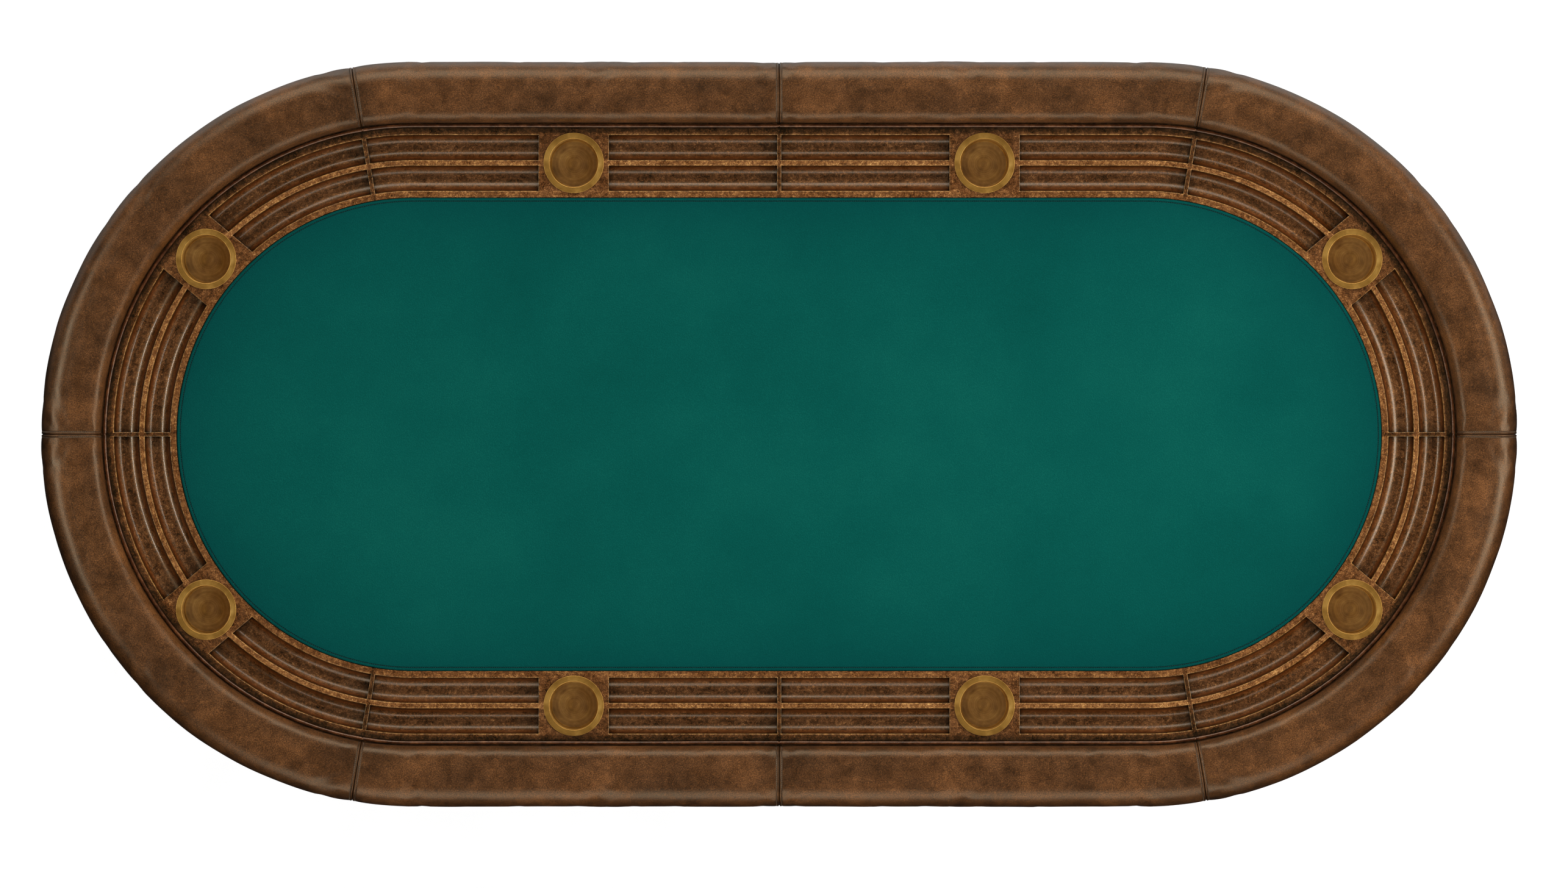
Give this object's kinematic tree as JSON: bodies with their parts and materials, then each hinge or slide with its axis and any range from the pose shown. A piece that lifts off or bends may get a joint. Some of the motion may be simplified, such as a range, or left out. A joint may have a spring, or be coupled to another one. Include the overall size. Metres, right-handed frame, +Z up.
{
  "type": "poker table",
  "caption": "Racetrack poker table with padded leather armrest, wooden chip rail with drop-in cup holders, padded playing surface and trestle base.",
  "frame": {"origin": "on the floor, under the middle of the table", "axes": "+X along the table's length, +Y across it towards the back, +Z up"},
  "size_m": [2.4384, 1.2304, 0.777],
  "materials": {
    "armrest_leather": "satin",
    "welt_leather": "satin",
    "upholstery_foam": "matte",
    "plywood": "matte",
    "rail_wood": "satin",
    "base_wood": "satin",
    "cup_brass": "satin",
    "playing_cloth": "matte",
    "steel": "satin",
    "pad_rubber": "matte"
  },
  "bodies": {
    "table": {"apron_back": "base_wood", "apron_blocks": "plywood", "apron_front": "base_wood", "apron_left": "base_wood", "apron_right": "base_wood", "armrest_bolts": "steel", "armrest_core": "plywood", "armrest_cover_1": "armrest_leather", "armrest_cover_2": "armrest_leather", "armrest_cover_3": "armrest_leather", "armrest_cover_4": "armrest_leather", "armrest_cover_5": "armrest_leather", "armrest_cover_6": "armrest_leather", "armrest_cover_7": "armrest_leather", "armrest_cover_8": "armrest_leather", "armrest_foam": "upholstery_foam", "armrest_welt": "welt_leather", "chip_rail_1": "rail_wood", "chip_rail_2": "rail_wood", "chip_rail_3": "rail_wood", "chip_rail_4": "rail_wood", "chip_rail_5": "rail_wood", "chip_rail_6": "rail_wood", "chip_rail_7": "rail_wood", "chip_rail_8": "rail_wood", "deck_board": "plywood", "deck_screws": "steel", "frame_crossbar_left": "base_wood", "frame_crossbar_right": "base_wood", "frame_rail_back": "base_wood", "frame_rail_front": "base_wood", "leveller_inserts": "steel", "pedestal_bolts": "steel", "pedestal_column_left": "base_wood", "pedestal_column_right": "base_wood", "pedestal_foot_left": "base_wood", "pedestal_foot_right": "base_wood", "pedestal_head_left": "base_wood", "pedestal_head_right": "base_wood", "playing_board": "plywood", "playing_cloth": "playing_cloth", "playing_foam": "upholstery_foam", "stretcher": "base_wood", "stretcher_wedges": "base_wood"},
    "cup_1": {"cup_holder_1": "cup_brass"},
    "cup_2": {"cup_holder_2": "cup_brass"},
    "cup_3": {"cup_holder_3": "cup_brass"},
    "cup_4": {"cup_holder_4": "cup_brass"},
    "cup_5": {"cup_holder_5": "cup_brass"},
    "cup_6": {"cup_holder_6": "cup_brass"},
    "cup_7": {"cup_holder_7": "cup_brass"},
    "cup_8": {"cup_holder_8": "cup_brass"},
    "pad_back_right": {"leveller_pad_back_right": "pad_rubber"},
    "stem_back_right": {"leveller_stem_back_right": "steel"},
    "pad_front_right": {"leveller_pad_front_right": "pad_rubber"},
    "stem_front_right": {"leveller_stem_front_right": "steel"},
    "pad_front_left": {"leveller_pad_front_left": "pad_rubber"},
    "stem_front_left": {"leveller_stem_front_left": "steel"},
    "pad_back_left": {"leveller_pad_back_left": "pad_rubber"},
    "stem_back_left": {"leveller_stem_back_left": "steel"}
  },
  "joints": [
    {"name": "cup_1_lift", "type": "slide", "parent": "table", "child": "cup_1", "axis": [0, 0, 1], "range_m": [0, 0.1]},
    {"name": "cup_2_lift", "type": "slide", "parent": "table", "child": "cup_2", "axis": [0, 0, 1], "range_m": [0, 0.1]},
    {"name": "cup_3_lift", "type": "slide", "parent": "table", "child": "cup_3", "axis": [0, 0, 1], "range_m": [0, 0.1]},
    {"name": "cup_4_lift", "type": "slide", "parent": "table", "child": "cup_4", "axis": [0, 0, 1], "range_m": [0, 0.1]},
    {"name": "cup_5_lift", "type": "slide", "parent": "table", "child": "cup_5", "axis": [0, 0, 1], "range_m": [0, 0.1]},
    {"name": "cup_6_lift", "type": "slide", "parent": "table", "child": "cup_6", "axis": [0, 0, 1], "range_m": [0, 0.1]},
    {"name": "cup_7_lift", "type": "slide", "parent": "table", "child": "cup_7", "axis": [0, 0, 1], "range_m": [0, 0.1]},
    {"name": "cup_8_lift", "type": "slide", "parent": "table", "child": "cup_8", "axis": [0, 0, 1], "range_m": [0, 0.1]},
    {"name": "pad_back_right_slide", "type": "slide", "parent": "table", "child": "pad_back_right", "axis": [0, 0, 1], "range_m": [-0.015, 0]},
    {"name": "stem_back_right_turn", "type": "hinge", "parent": "pad_back_right", "child": "stem_back_right", "pos_m": [0.54, 0.35, 0.03], "axis": [0, 0, 1], "range_deg": [-3610, 10]},
    {"name": "pad_front_right_slide", "type": "slide", "parent": "table", "child": "pad_front_right", "axis": [0, 0, 1], "range_m": [-0.015, 0]},
    {"name": "stem_front_right_turn", "type": "hinge", "parent": "pad_front_right", "child": "stem_front_right", "pos_m": [0.54, -0.35, 0.03], "axis": [0, 0, 1], "range_deg": [-3610, 10]},
    {"name": "pad_front_left_slide", "type": "slide", "parent": "table", "child": "pad_front_left", "axis": [0, 0, 1], "range_m": [-0.015, 0]},
    {"name": "stem_front_left_turn", "type": "hinge", "parent": "pad_front_left", "child": "stem_front_left", "pos_m": [-0.54, -0.35, 0.03], "axis": [0, 0, 1], "range_deg": [-3610, 10]},
    {"name": "pad_back_left_slide", "type": "slide", "parent": "table", "child": "pad_back_left", "axis": [0, 0, 1], "range_m": [-0.015, 0]},
    {"name": "stem_back_left_turn", "type": "hinge", "parent": "pad_back_left", "child": "stem_back_left", "pos_m": [-0.54, 0.35, 0.03], "axis": [0, 0, 1], "range_deg": [-3610, 10]}
  ],
  "couplings": [
    {"joint": "stem_back_right_turn", "follows": "pad_back_right_slide", "rad_per_m": 4188.8},
    {"joint": "stem_front_right_turn", "follows": "pad_front_right_slide", "rad_per_m": 4188.8},
    {"joint": "stem_front_left_turn", "follows": "pad_front_left_slide", "rad_per_m": 4188.8},
    {"joint": "stem_back_left_turn", "follows": "pad_back_left_slide", "rad_per_m": 4188.8}
  ]
}
